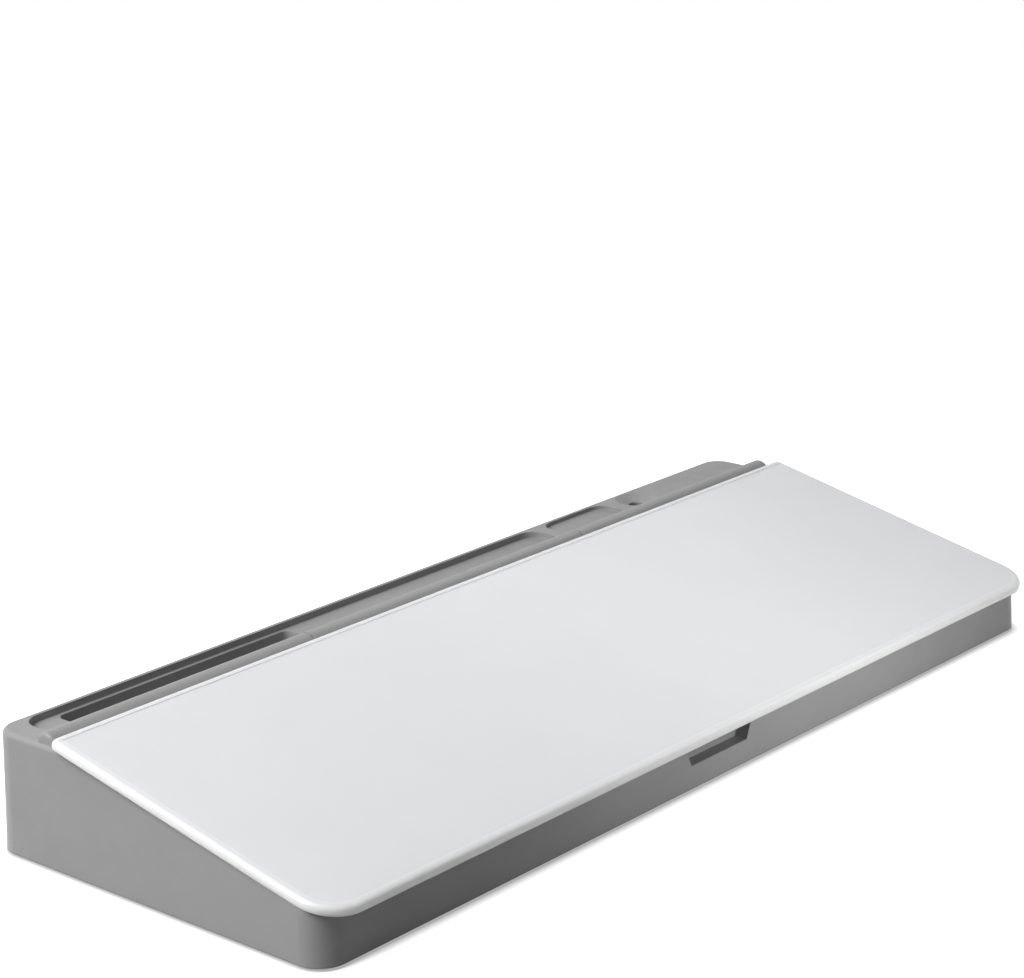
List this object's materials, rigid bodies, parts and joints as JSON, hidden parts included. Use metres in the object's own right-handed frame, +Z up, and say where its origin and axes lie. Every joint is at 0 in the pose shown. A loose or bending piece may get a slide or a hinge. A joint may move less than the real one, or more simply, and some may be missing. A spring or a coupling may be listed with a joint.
{
  "type": "desktop whiteboard with storage base",
  "caption": "Wedge-shaped desk whiteboard: hinged magnetic glass lid over a divided tray, rear ledge with phone slot and pen hole, capped markers and an eraser inside",
  "frame": {"origin": "centre of the bounding box, on the plane that the feet stand on", "axes": "+X along the length to the user's right, +Y from the low front edge to the rear ledge, +Z up"},
  "size_m": [0.4014, 0.1603, 0.0482],
  "materials": {
    "grey_plastic": "fine moulded texture",
    "dark_grey_plastic": "fine moulded texture",
    "screw_steel": "zinc plated",
    "foot_rubber": "matt",
    "pin_steel": "ground",
    "tape_foam": "closed-cell foam with adhesive",
    "white_enamel": "smooth baked enamel",
    "white_glass": "back-painted float glass, polished",
    "yellow_plastic": "smooth moulding",
    "eraser_felt": "dense felt",
    "magnet_metal": "nickel plated",
    "black_plastic": "smooth extrusion",
    "white_plastic": "smooth moulding",
    "nib_felt": "pressed fibre",
    "red_plastic": "smooth moulding",
    "blue_plastic": "smooth moulding",
    "green_plastic": "smooth moulding"
  },
  "bodies": {
    "base": {"base_housing": "grey_plastic", "bottom_cover": "dark_grey_plastic", "cover_screws": "screw_steel", "rubber_feet": "foot_rubber", "hinge_pins": "pin_steel", "eraser_shell": "yellow_plastic", "eraser_felt": "eraser_felt", "eraser_magnet": "magnet_metal", "red_marker_cap": "red_plastic", "red_marker_cap_magnet": "magnet_metal", "blue_marker_cap": "blue_plastic", "blue_marker_cap_magnet": "magnet_metal", "green_marker_cap": "green_plastic", "green_marker_cap_magnet": "magnet_metal"},
    "lid": {"glass_panel": "white_glass", "steel_sheet": "white_enamel", "adhesive_tape": "tape_foam", "hinge_plate": "grey_plastic"},
    "red_marker": {"red_marker_barrel": "black_plastic", "red_marker_end_plug": "red_plastic", "red_marker_nib_holder": "white_plastic", "red_marker_nib": "nib_felt", "red_marker_ink_reservoir": "nib_felt"},
    "blue_marker": {"blue_marker_barrel": "black_plastic", "blue_marker_end_plug": "blue_plastic", "blue_marker_nib_holder": "white_plastic", "blue_marker_nib": "nib_felt", "blue_marker_ink_reservoir": "nib_felt"},
    "green_marker": {"green_marker_barrel": "black_plastic", "green_marker_end_plug": "green_plastic", "green_marker_nib_holder": "white_plastic", "green_marker_nib": "nib_felt", "green_marker_ink_reservoir": "nib_felt"}
  },
  "joints": [
    {"name": "lid_hinge", "type": "hinge", "parent": "base", "child": "lid", "pos_m": [0, 0.05296, 0.043], "axis": [-1, 0, 0], "range_deg": [0, 130]},
    {"name": "red_marker_uncap", "type": "slide", "parent": "base", "child": "red_marker", "axis": [-1, 0, 0], "range_m": [0, 0.04]},
    {"name": "blue_marker_uncap", "type": "slide", "parent": "base", "child": "blue_marker", "axis": [-1, 0, 0], "range_m": [0, 0.04]},
    {"name": "green_marker_uncap", "type": "slide", "parent": "base", "child": "green_marker", "axis": [-1, 0, 0], "range_m": [0, 0.04]}
  ]
}
